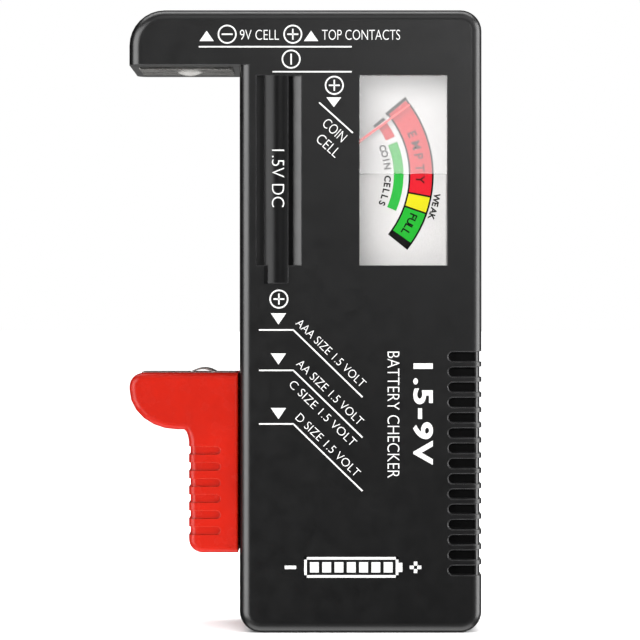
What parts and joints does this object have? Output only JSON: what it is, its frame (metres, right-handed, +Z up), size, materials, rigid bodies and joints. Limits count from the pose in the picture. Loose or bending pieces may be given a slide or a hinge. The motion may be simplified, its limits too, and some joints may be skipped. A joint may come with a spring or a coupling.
{
  "type": "battery tester",
  "caption": "Hand-held battery tester: L-shaped black case, sliding red contact grip, nine-volt pads on top and a pointer meter behind a clear window.",
  "frame": {"origin": "centre of the bounding box at its base, under the middle of the case and arm together", "axes": "+Z up along the case, +X to the viewer's right, +Y from the front face to the back"},
  "size_m": [0.0616, 0.0248, 0.1088],
  "materials": {
    "case_black": "fine moulded black ABS",
    "slider_red": "satin moulded red ABS",
    "lens_clear": "clear moulded acrylic",
    "dial_white": "white printed card",
    "nickel": "satin nickel-plated steel",
    "brass": "bare stamped brass",
    "steel": "zinc-plated steel",
    "magnet_grey": "sintered magnet",
    "aluminium": "thin pressed sheet",
    "copper_winding": "enamelled copper wire",
    "jewel_red": "polished jewel",
    "dark_plastic": "moulded nylon",
    "pointer_red": "red lacquered aluminium",
    "board_green": "green solder mask on laminate",
    "resistor_tan": "lacquered resistor body",
    "wire_black": "soft black insulation",
    "wire_blue": "soft blue insulation",
    "wire_red": "soft red insulation",
    "wire_yellow": "soft yellow insulation"
  },
  "bodies": {
    "case": {"front_shell": "case_black", "rear_shell": "case_black", "window_lens": "lens_clear", "dial_plate": "dial_white", "meter_frame": "dark_plastic", "meter_yoke": "steel", "core_magnet": "magnet_grey", "core_bracket": "brass", "front_bridge": "brass", "rear_bridge": "brass", "front_jewel": "jewel_red", "rear_jewel": "jewel_red", "arm_contact": "nickel", "nine_volt_negative": "nickel", "nine_volt_positive": "nickel", "contact_rail": "brass", "circuit_board": "board_green", "resistors": "resistor_tan", "housing_screws": "steel", "meter_screws": "steel", "board_screws": "steel", "arm_lead": "wire_black", "negative_lead": "wire_blue", "positive_lead": "wire_red", "rail_lead": "wire_yellow", "meter_lead": "wire_red"},
    "slider": {"slider_knob": "slider_red", "slider_contact": "nickel", "slider_keeper": "dark_plastic", "slider_brush": "brass", "keeper_screws": "steel"},
    "movement": {"pointer": "pointer_red", "balance_weights": "brass", "coil_former": "aluminium", "moving_coil": "copper_winding", "pivots": "steel", "hairspring_front": "brass", "hairspring_rear": "brass"}
  },
  "joints": [
    {"name": "slider_slide", "type": "slide", "parent": "case", "child": "slider", "axis": [0, 0, 1], "range_m": [-0.0125, 0.05]},
    {"name": "pointer_turn", "type": "hinge", "parent": "case", "child": "movement", "pos_m": [0.0015, 0, 0.0802], "axis": [0, 1, 0], "range_deg": [0, 75], "stiffness_Nm_per_rad": 0.00002}
  ]
}
